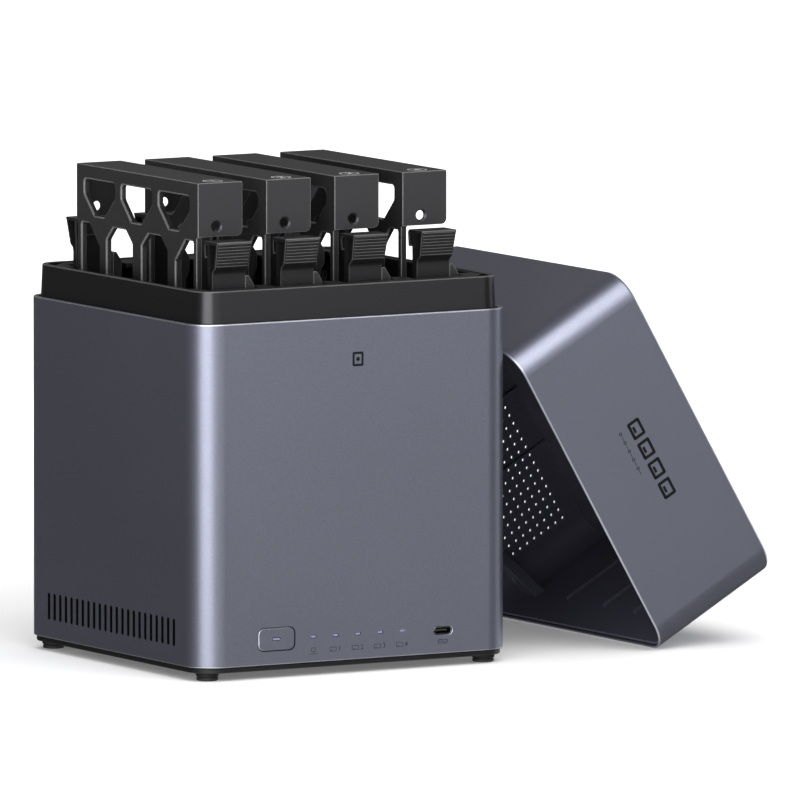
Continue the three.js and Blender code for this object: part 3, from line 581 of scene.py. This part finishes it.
piece("base_tray", base_plate(), BODY, "chassis", BASE, ["base_plate"])
for where, (sx, sy) in CORNERS.items():
    piece(
        f"rubber_foot_{where}", lathe(FOOT_PROFILE, 48, sx * FOOT_X, sy * FOOT_Y), BODY,
        "chassis", RUBBER, [f"foot_{where}"],
    )
    cross = [
        block(-1.6, 1.6, -0.3, 0.3, 3.0, 5.0, 0.05), block(-0.3, 0.3, -1.6, 1.6, 3.0, 5.0, 0.05),
    ]
    screw = boolean(lathe(SCREW_PROFILE), join(*cross), "DIFFERENCE")
    screw.transform(Matrix.Translation((sx * LEG_X, sy * LEG_Y, 0)))
    piece(f"leg_screw_{where}", screw, BODY, "chassis", STEEL, [f"base_screw_{where}"])
    disc = upright(2.2, sx * CATCH, sy * CATCH, 162.6, 164.2)
    piece(f"catch_disc_{where}", disc, BODY, "chassis", STEEL, [f"frame_catch_{where}"])

# ---- Lid ----

HOLE_PITCH, HOLE_RADIUS, HOLE_COLUMNS, HOLE_ROWS = 4.13, 0.90, 30, 9
FIRST_HOLE_X, FIRST_HOLE_Z = 60.0, 52.4
ROOF_EDGE = 1.8


def perforation(face, inner):
    """Cutters for the lid's rear wall: a square field of small round holes."""
    return [
        loft(
            circle(HOLE_RADIUS, FIRST_HOLE_X - HOLE_PITCH * i, FIRST_HOLE_Z - HOLE_PITCH * j, 16),
            mouth(face, inner, 0.1), "y",
        )
        for i in range(HOLE_COLUMNS) for j in range(HOLE_ROWS)
    ]


def lid_shell():
    top = LID_HEIGHT - ROOF_EDGE
    roof = [k * math.pi / 12 for k in range(1, 7)]
    skin = loft(body_rect(LID_HALF, 13), [
        (top + 0.8, 1.9), (top + 0.55, 1.25), (top - 0.1, 1.0), (0.3, 1.0), (0, 0.85), (0, 0.6),
        (0.2, 0.2), (0.65, 0), (top, 0),
        *[(top + ROOF_EDGE * math.sin(a), ROOF_EDGE * (1 - math.cos(a))) for a in roof],
    ])
    return cut(skin, *perforation(LID_HALF, LID_HALF - 3))


def lid_liner():
    top = LID_HEIGHT - 1.3
    skin = loft(body_rect(75.7, 11.7), [
        (top - 1, 1.8), (top - 1.2, 1.2), (top - 1.8, 1.0), (1.5, 1.0), (1.2, 0.7), (1.2, 0.3),
        (1.5, 0), (top - 0.3, 0), (top, 0.3),
    ])
    skin = cut(skin, *perforation(75.7, 73))
    ribs = [block(x - 0.6, x + 0.6, 73.2, 75.1, 34, top - 0.5, 0.2) for x in (-31, -3, 25)]
    for y in (-26, 0.6, 31.5):
        for x0, x1 in ((-75.1, -73.2), (73.2, 75.1)):
            ribs.append(block(x0, x1, y - 0.6, y + 0.6, 17, top - 0.5, 0.2))
    skin = join(skin, *ribs, *corner_webs(55.3, 75.2, 71.8, 67.0, 15, 20))
    pockets = [
        loft(circle(2.5, sx * CATCH, sy * CATCH, 32), mouth(15, 17.6, 0.3))
        for sx, sy in CORNERS.values()
    ]
    return cut(skin, *pockets)


piece("lid_skin", lid_shell(), LID, "lid", SHELL, ["lid_shell"])
piece("lid_inner_skin", lid_liner(), LID, "lid", LINER, ["lid_liner"])
for where, (sx, sy) in CORNERS.items():
    disc = upright(2.2, sx * CATCH, sy * CATCH, 15.3, 17.3)
    piece(f"magnet_disc_{where}", disc, LID, "lid", STEEL, [f"lid_magnet_{where}"])

# ---- Trays ----

TRAY_TOP, TRAY_BOTTOM, TRAY_WIDTH, TRAY_HALF, TRAY_WALL = 211.4, 76.0, 21.9, 53.2, 2.7
END_WALL, HOLE_DROP, TRAY_SHEET = 23.3, 18.9, 1.7
PIVOT_Y, PIVOT_Z, LATCH_X = 60.1, 140.0, 10.6


def through(wall, outside):
    """Stations of a cutter through a wall, with a softened edge on both sides."""
    inside = 0.3
    return [
        (-1, -outside - 1), (0, -outside), (outside * 0.35, -outside * 0.42), (outside, 0),
        (wall - inside, 0), (wall, -inside), (wall + 1, -inside - 1),
    ]


def tray():
    low, step = TRAY_HALF - 1.2, TRAY_TOP - END_WALL
    outline = rounded([
        (-low, TRAY_BOTTOM), (low, TRAY_BOTTOM), (low, step - 0.6), (TRAY_HALF, step),
        (TRAY_HALF, TRAY_TOP), (-TRAY_HALF, TRAY_TOP), (-TRAY_HALF, step), (-low, step - 0.6),
    ], [2, 2, 0, 0.5, 0.6, 0.6, 0.5, 0], 3)
    wall = loft(outline, edged(0, TRAY_WALL, 0.35), "x")
    windows = []
    for k in (-1, 0, 1):
        y = 0.6 + 32.6 * k
        windows.append(rounded([
            (y - 4.3, 189.9), (y + 4.3, 189.9), (y + 13.4, 199),
            (y + 13.4, 205.2), (y - 13.4, 205.2), (y - 13.4, 199),
        ], [1.6, 1.6, 2.4, 1.8, 1.8, 2.4]))
    for y in (15.7, -15):
        windows.append(rounded([
            (y - 11.2, 118), (y + 11.2, 118), (y + 11.2, 180.4),
            (y + 5.3, 186), (y - 5.3, 186), (y - 11.2, 180.4),
        ], 1.8))
    for side in (1, -1):
        points = [(33.4, 118), (48.8, 118), (48.8, 186.2), (42.2, 186.2), (33.4, 176.8)]
        windows.append(rounded([(side * y, z) for y, z in points][::side], 1.2))
    cutters = [loft(window, through(TRAY_WALL, 0.7), "x") for window in windows]
    for y in (-44.5, 0, 44.5):
        cutters.append(loft(circle(1.8, y, 91.3), through(TRAY_WALL, 0.9), "x"))
    wall = cut(wall, *cutters)

    cap = rounded([
        (0, -TRAY_HALF), (TRAY_WIDTH, -TRAY_HALF), (TRAY_WIDTH, TRAY_HALF), (0, TRAY_HALF),
    ], 0.5, 3)
    cap = loft(cap, edged(TRAY_TOP - TRAY_SHEET, TRAY_TOP, 0.35))
    end = rounded([
        (0, step), (TRAY_WIDTH, step), (TRAY_WIDTH, TRAY_TOP), (0, TRAY_TOP),
    ], [0.5, 2.5, 1.1, 0.5], 6)
    front = loft(end, edged(-TRAY_HALF, -TRAY_HALF + TRAY_SHEET, 0.35), "y")
    rear = loft(end, edged(TRAY_HALF - TRAY_SHEET, TRAY_HALF, 0.35), "y")
    hole = [(0.65, 0), (TRAY_SHEET + 1, 0)]
    tools = []
    for side in (-1, 1):
        at = circle(2.1, 9.1, TRAY_TOP - HOLE_DROP, 32)
        stations = [(side * (TRAY_HALF + 1), -1.65), (side * TRAY_HALF, -0.65)]
        tools.append(loft(at, stations + [(side * (TRAY_HALF - d), i) for d, i in hole], "y"))
    channel = cut(join(wall, cap, front, rear), *tools)
    return join(channel, latch_bracket(), mirrored(latch_bracket(), "y"))


def latch_bracket():
    """The front bracket, between whose ears a latch turns."""
    foot = PIVOT_Z - 6
    guide = rounded([
        (19, foot), (21.2, foot), (21.2, 158), (23.4, 161.5),
        (23.4, 167.6), (20.8, 171.7), (19, 171.7),
    ], 0.5, 3)
    bracket = join(
        block(0, 20.4, -56.6, -54.6, foot, PIVOT_Z + 10, 0.25),
        block(0, 2.3, -57.6, -51, foot, PIVOT_Z + 10, 0.3),
        block(0.9, 2.3, -62.2, -55, foot, PIVOT_Z + 4, 0.2),
        block(19, 20.4, -62.2, -55, foot, PIVOT_Z + 4, 0.2),
        loft(guide, edged(-60.5, -55, 0.3), "y"),
    )
    return cut(bracket, loft(circle(1.5, -PIVOT_Y, PIVOT_Z), [(0.5, 0), (21.6, 0)], "x"))


# ---- Latches: a ribbed finger pad in front of a springy neck, drawn for the front of a tray ----

PAD_LOW, PAD_HIGH, PAD_HALF, PAD_RIBS, PAD_EDGE = 176.0, 187.0, 8, 8, 0.7
PAD_SPREAD = 0.07  # how much wider the pad is at its top


def latch():
    front, back, sheet, lip = -PIVOT_Y - 0.9, -PIVOT_Y + 0.9, -57.5, -54.0
    pitch = (PAD_HIGH - PAD_LOW) / PAD_RIBS
    face = [(-63.75 - 2.6 * k / PAD_RIBS, PAD_LOW + k * pitch) for k in range(PAD_RIBS + 1)]
    outline = [
        (front, PIVOT_Z - 1), (front, 161), (-62.9, 161.6), (-62.9, 163.4), (front, 164.2),
        (front, 172.6), (-61.6, 174.2), (-63.2, 175.2), *face[:-1],
        (-66.5, PAD_HIGH - 0.55), (-66.3, PAD_HIGH - 0.15), (-65.8, PAD_HIGH),
        (lip - 1.7, PAD_HIGH), (lip - 0.85, PAD_HIGH - 0.22), (lip - 0.25, PAD_HIGH - 0.8),
        (lip, PAD_HIGH - 1.7), (lip, 180.2), (lip - 0.25, 179.7), (lip - 0.8, 179.5),
        (lip - 1.3, 179.8), (lip - 1.4, 180.4), (lip - 1.4, PAD_HIGH - 2.3),
        (lip - 2.0, PAD_HIGH - 1.6), (sheet, PAD_HIGH - 1.6), (sheet, 154),
        (back, 152), (back, PIVOT_Z - 1),
    ]
    body = loft([Vector(p) for p in outline], edged(-PAD_HALF, PAD_HALF, 0.16, 2), "x")
    ribs = [(face[0][0] + 0.6, PAD_LOW - 0.3)]
    for y, z in face[:-1]:
        ribs += [
            (y, z), (y - 0.5, z + 0.22), (y - 0.62, z + 0.45), (y - 0.5, z + 0.62),
            (y - 0.05, z + 0.95),
        ]
    ribs.append((face[-1][0] + 0.9, PAD_HIGH - 0.35))
    ribs_half = PAD_HALF - PAD_EDGE
    ribs = loft([Vector(p) for p in ribs], edged(-ribs_half, ribs_half, 0.2, 2), "x")
    hollow = rounded([
        (-64.9, PAD_HIGH - 1.5), (-62.2, 176.4), (-60, 173.6), (-59.2, 173.6),
        (-59.2, PAD_HIGH - 1.5),
    ], 0.5, 3)
    pad = cut(join(body, ribs), loft(hollow, [(-10, 0), (10, 0)], "x"))
    for v in pad.vertices:
        rise = max(0, v.co.z - PAD_LOW) / (PAD_HIGH - PAD_LOW)
        v.co.x *= 1 + PAD_SPREAD * rise
    barrel = loft(circle(2, -PIVOT_Y, PIVOT_Z), edged(-7.9, 7.9, 0.2), "x")
    pin = loft(circle(1.2, -PIVOT_Y, PIVOT_Z), edged(-9.5, 9.6, 0.2), "x")
    return join(pad, barrel, pin)


tray_mesh, latch_mesh = tray(), latch()
for bay in (1, 2, 3, 4):
    place = bay_frame(bay)
    body = f"tray_{bay}_body"
    piece(f"carrier_{bay}", tray_mesh.copy(), place, body, TRAY, [f"tray_{bay}"])
    for end, turn in (("front", 0), ("rear", math.pi)):
        spot = place @ Matrix.Translation((LATCH_X, 0, 0)) @ Matrix.Rotation(turn, 4, "Z")
        name = f"latch_{end}_{bay}"
        body = f"{name}_body"
        piece(f"finger_{name}", latch_mesh.copy(), spot, body, LATCH, [name])

# ---- Front controls ----


def power_button():
    back = FRONT + SHELL_WALL + GAP
    face = loft(
        rect(BUTTON_HALF_X, BUTTON_HALF_Z, 2.5, BUTTON_X, CONTROL_Z),
        [(FRONT, 0.32), (FRONT + 0.27, 0.03), (FRONT + 0.35, 0), (back + 0.5, 0)], "y",
    )
    rim = rect(BUTTON_HALF_X + 1.4, BUTTON_HALF_Z + 1.4, 3, BUTTON_X, CONTROL_Z + 1)
    flange = loft(rim, edged(back, back + 1.2, 0.2), "y")
    stem = loft(circle(1.8, BUTTON_X, CONTROL_Z + 3), edged(back, -70.2, 0.2), "y")
    slot = loft(rect(2.05, 0.8, 0.4, BUTTON_X, CONTROL_Z), mouth(FRONT, FRONT + 5, 0.04), "y")
    return cut(join(face, flange, stem), slot)


def front_port():
    pill = rect(4.45, 1.6, 1.599, PORT_X, PORT_Z, steps=10)
    tube = loft(pill, [
        (FRONT + 0.3, 0.2), (FRONT + 0.4, 0), (-68, 0), (-68, 0.3), (-69, 0.3), (FRONT + 0.4, 0.3),
    ], "y", ring=True)
    floor = loft(inset(pill, 0.1), [(-69, 0), (-68.2, 0)], "y")
    tongue = block(PORT_X - 3.3, PORT_X + 3.3, -75.4, -68.5, PORT_Z - 0.35, PORT_Z + 0.35, 0.12)
    return join(tube, floor, tongue)


piece("button_cap", power_button(), BODY, "button", SHELL, ["power_button"])
lens = loft(rect(1.75, 0.45, 0.35, BUTTON_X, CONTROL_Z), edged(FRONT + 0.1, FRONT + 2.9, 0.1), "y")
piece("button_lens", lens, BODY, "button", LIGHT, ["button_light"])
bar = block(
    MIDDLE_X - 25, MIDDLE_X + 25, FRONT + 2.3, -73.2, CONTROL_Z - 1.6, CONTROL_Z + 1.6, 0.2,
)
tips = [
    loft(rect(1.15, 0.5, 0.3, x, CONTROL_Z), edged(FRONT + 0.1, FRONT + 3, 0.1), "y")
    for x in LIGHTS_X
]
piece("light_bar", join(bar, *tips), BODY, "chassis", LIGHT, ["status_light_guide"])
piece("port_socket", front_port(), BODY, "chassis", PORT_METAL, ["front_data_port"])

# ---- Printed marks: generic pictograms and numerals ----


CAP_HEIGHT = 0.69  # of the built-in font, as a part of its size


def mark(outline, face, axis="y", out=-1, stroke=0.0):
    """A print 0.03 mm proud of a face, filled or as a line round its outline."""
    low, high = face - 0.1 * out, face + 0.03 * out
    if stroke:
        return loft(outline, [(low, 0), (high, 0), (high, stroke), (low, stroke)], axis, ring=True)
    return loft(outline, [(low, 0), (high, 0)], axis)


def numeral(text, height, matrix):
    curve = bpy.data.curves.new("numeral", "FONT")
    curve.body, curve.size, curve.extrude = text, height / CAP_HEIGHT, 0.05
    curve.align_x, curve.align_y = "CENTER", "CENTER"
    obj = bpy.data.objects.new("numeral", curve)
    bpy.context.scene.collection.objects.link(obj)
    graph = bpy.context.evaluated_depsgraph_get()
    mesh = bpy.data.meshes.new_from_object(obj.evaluated_get(graph))
    bpy.data.objects.remove(obj)
    mesh.transform(matrix)
    return mesh


FACING_FRONT = Matrix.Rotation(math.pi / 2, 4, "X")
LABEL_Z, TOUCH_Z, LID_MARK_Z, LID_CODE_Z = 11.1, 135.1, 34, 27.2
NUMBER_X, NUMBER_Y = 11.2, -46.2
prints = [
    mark(rect(1.2, 0.9, 0.2, LIGHTS_X[0], LABEL_Z + 0.3), FRONT, stroke=0.3),
    mark(rect(0.2, 0.5, 0.1, LIGHTS_X[0], LABEL_Z - 1.0), FRONT),
    mark(rect(2.2, 0.15, 0.1, LIGHTS_X[0], LABEL_Z - 1.5), FRONT),
    mark(rect(2.3, 0.95, 0.9, PORT_X, PORT_Z - 4.6, steps=8), FRONT, stroke=0.32),
    mark(rect(1.2, 0.17, 0.1, PORT_X, PORT_Z - 4.6), FRONT),
]
for k, x in enumerate(LIGHTS_X[1:]):
    prints.append(mark(rect(1.7, 1.0, 0.3, x - 1.4, LABEL_Z), FRONT, stroke=0.3))
    prints.append(mark(rect(0.5, 0.15, 0.1, x - 2.0, LABEL_Z - 0.4), FRONT))
    spot = Matrix.Translation((x + 1.9, FRONT + 0.02, LABEL_Z)) @ FACING_FRONT
    prints.append(numeral(str(k + 1), 2.0, spot))
piece("front_print", together(prints), BODY, "chassis", FAINT_INK)
touch = [
    mark(rect(2.7, 3.1, 0.7, MIDDLE_X, TOUCH_Z), FRONT, stroke=1.0),
    mark(circle(0.9, MIDDLE_X, TOUCH_Z), FRONT),
]
piece("touch_print", together(touch), BODY, "chassis", INK)

lid_prints = []
for x in (-15.3, -5.1, 5.1, 15.3):
    lid_prints.append(mark(rect(4.1, 3.3, 0.8, x, LID_MARK_Z + 1), -LID_HALF, stroke=1.35))
    lid_prints.append(mark(rect(1.5, 0.6, 0.2, x, LID_MARK_Z), -LID_HALF))
for k in range(5):
    lid_prints.append(mark(circle(0.75, -17.5 + 4.4 * k, LID_CODE_Z), -LID_HALF, stroke=0.35))
    lid_prints.append(mark(rect(1.1, 0.16, 0.1, -15.3 + 4.4 * k, LID_CODE_Z), -LID_HALF))
piece("lid_print", together(lid_prints), LID, "lid", INK)

for bay in (1, 2, 3, 4):
    spot = Matrix.Translation((NUMBER_X, NUMBER_Y, TRAY_TOP - 0.02))
    marks = [
        numeral(str(bay), 4.2, spot),
        mark(circle(4.3, NUMBER_X, NUMBER_Y, 40), TRAY_TOP, "z", 1, 0.45),
    ]
    piece(f"carrier_print_{bay}", together(marks), bay_frame(bay), f"tray_{bay}_body", PALE_INK)

# ---- Inner pieces whose CAD shape is right: softened edges and a finish of their own ----

WELD_REACH, SOFT_EDGE = 0.00001, 0.00022  # metres
KEPT = {
    "drive_cage": CAGE, "backplane_board": BOARD, "main_board": BOARD, "heat_sink": SINK,
    "fan_frame": FAN, "fan_rotor": FAN, "rear_port_plate": BASE, "network_port": STEEL,
    "video_port": STEEL, "rear_data_port_1": STEEL, "rear_data_port_2": STEEL,
    "power_inlet": PART, "button_switch": PART,
    **{f"drive_connector_{bay}": PART for bay in (1, 2, 3, 4)},
}
for node, material in KEPT.items():
    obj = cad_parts[node]
    for slot in obj.material_slots:
        slot.material = material
    weld = obj.modifiers.new("weld", "WELD")
    weld.merge_threshold = WELD_REACH
    flat = obj.modifiers.new("flat", "DECIMATE")
    flat.decimate_type = "DISSOLVE"
    flat.angle_limit = math.radians(0.5)
    bevel = obj.modifiers.new("edges", "BEVEL")
    bevel.width, bevel.segments = SOFT_EDGE, 2
    bevel.limit_method, bevel.angle_limit = "ANGLE", math.radians(35)
    bevel.harden_normals = True

# ---- Look from the front left, as in the photograph ----

AZIMUTH, ELEVATION = math.radians(29.967), math.radians(6.16)
DISTANCE, LENS = 9.0, 941.1  # metres, and millimetres
AIM_UP, ASIDE, ABOVE = 0.080, 0.056971, 0.030059  # from the body's foot to the view's middle
right = Vector((math.cos(AZIMUTH), -math.sin(AZIMUTH), 0))
back = Vector((
    -math.sin(AZIMUTH) * math.cos(ELEVATION),
    -math.cos(AZIMUTH) * math.cos(ELEVATION),
    math.sin(ELEVATION),
))
up = back.cross(right)
target = CENTRE + Vector((0, 0, AIM_UP)) + right * ASIDE + up * ABOVE
camera = bpy.data.objects.new("camera", bpy.data.cameras.new("camera"))
bpy.context.scene.collection.objects.link(camera)
facing = Matrix((right, up, back)).transposed().to_4x4()
camera.matrix_world = Matrix.Translation(target + back * DISTANCE) @ facing
camera.data.lens = LENS
camera.data.clip_start, camera.data.clip_end = 1.0, 100.0
bpy.context.scene.camera = camera
bpy.context.scene.view_settings.view_transform = "Standard"

# ---- Floor, backdrop and soft studio light ----

WHITE = (1, 1, 1, 1)
FAR = 30  # metres from the middle of the floor to its sides
FLOOR_CORNERS = [(-FAR, -FAR, 0), (FAR, -FAR, 0), (FAR, FAR, 0), (-FAR, FAR, 0)]
floor_mesh = bpy.data.meshes.new("floor")
floor_mesh.from_pydata(FLOOR_CORNERS, [], [(0, 1, 2, 3)])
floor = bpy.data.objects.new("floor", floor_mesh)
bpy.context.scene.collection.objects.link(floor)
floor_paint = bpy.data.materials.new("floor_paint")
floor_paint.use_nodes = True
floor_nodes, floor_links = floor_paint.node_tree.nodes, floor_paint.node_tree.links
floor_shader = floor_nodes["Principled BSDF"]
floor_shader.inputs["Base Color"].default_value = (0.9, 0.9, 0.9, 1)
floor_shader.inputs["Roughness"].default_value = 0.9
floor_shader.inputs["Specular IOR Level"].default_value = 0
floor_shader.inputs["Emission Color"].default_value = WHITE
reach = floor_nodes.new("ShaderNodeVectorMath")  # painted light: the floor glows faintly by the object, which lightens its shadows, and fully away from it, so the dimmer glow leaves a painted shade round the object and the far floor turns white
reach.operation = "LENGTH"
painted_floor_light = floor_nodes.new("ShaderNodeMapRange")
painted_floor_light.inputs["From Min"].default_value, painted_floor_light.inputs["From Max"].default_value = 0.25, 1.0
painted_floor_light.inputs["To Min"].default_value, painted_floor_light.inputs["To Max"].default_value = 0.13, 1.0
floor_links.new(floor_nodes.new("ShaderNodeTexCoord").outputs["Object"], reach.inputs[0])
floor_links.new(reach.outputs["Value"], painted_floor_light.inputs["Value"])
floor_links.new(painted_floor_light.outputs["Result"], floor_shader.inputs["Emission Strength"])
floor_mesh.materials.append(floor_paint)
floor.visible_glossy = False
floor.visible_shadow = False


def toward(azimuth, elevation):
    """The direction of a place seen at these degrees; azimuth 0 is in front of the object."""
    a, e = math.radians(azimuth), math.radians(elevation)
    return Vector((math.sin(a) * math.cos(e), -math.cos(a) * math.cos(e), math.sin(e)))


def softbox(name, azimuth, elevation, distance, width, height, radiance):
    """A rectangular light that faces the object; distances are in metres."""
    light = bpy.data.lights.new(name, "AREA")
    light.shape = "RECTANGLE"
    light.size, light.size_y = width, height
    light.energy = radiance * width * height * math.pi
    obj = bpy.data.objects.new(name, light)
    bpy.context.scene.collection.objects.link(obj)
    away = toward(azimuth, elevation)
    obj.location = Vector((0, 0, 0.1)) + away * distance
    obj.rotation_euler = away.to_track_quat("Z", "Y").to_euler()
    obj.visible_camera = False
    return obj


softbox("key", -46.5, 14, 1.6, 1.3, 1.3, 3.4)
softbox("front_top", 0, 43, 2.2, 1.8, 1.75, 2.9)
softbox("fill", 10, 10, 1.6, 1.5, 1.1, 0.52)
softbox("overhead", 0, 90, 2.2, 3.0, 3.0, 1.6).visible_glossy = False

AMBIENT = 0.06
world = bpy.data.worlds.new("studio")
bpy.context.scene.world = world
world.use_nodes = True
world_nodes, world_links = world.node_tree.nodes, world.node_tree.links
outlook = world_nodes.new("ShaderNodeTexCoord").outputs["Generated"]


def glow(total, azimuth, elevation, inner, outer, amount):
    """Adds a soft patch of light to the surroundings, fading from an inner to an outer angle."""
    facing = world_nodes.new("ShaderNodeVectorMath")
    facing.operation = "DOT_PRODUCT"
    world_links.new(outlook, facing.inputs[0])
    facing.inputs[1].default_value = toward(azimuth, elevation)
    fade = world_nodes.new("ShaderNodeMapRange")
    fade.interpolation_type = "SMOOTHSTEP"
    world_links.new(facing.outputs["Value"], fade.inputs["Value"])
    fade.inputs["From Min"].default_value = math.cos(math.radians(outer))
    fade.inputs["From Max"].default_value = math.cos(math.radians(inner))
    fade.inputs["To Min"].default_value, fade.inputs["To Max"].default_value = 0, amount
    added = world_nodes.new("ShaderNodeMath")
    world_links.new(fade.outputs["Result"], added.inputs[0])
    if total is None:
        added.inputs[1].default_value = AMBIENT
    else:
        world_links.new(total, added.inputs[1])
    return added.outputs[0]


surroundings = None
for patch in (
    (176, 34, 15, 50, 0.10),  # behind, above
    (100, 0, 10, 35, 0.9),  # right
    (-40, -55, 25, 62, 0.9),  # the pale floor in front, as polished faces see it
):
    surroundings = glow(surroundings, *patch)

sky = world_nodes["Background"]
mix = world_nodes.new("ShaderNodeMix")
mix.data_type = "RGBA"
camera_ray = world_nodes.new("ShaderNodeLightPath").outputs["Is Camera Ray"]
world_links.new(camera_ray, mix.inputs["Factor"])
world_links.new(surroundings, mix.inputs["A"])
mix.inputs["B"].default_value = WHITE
world_links.new(mix.outputs["Result"], sky.inputs["Color"])
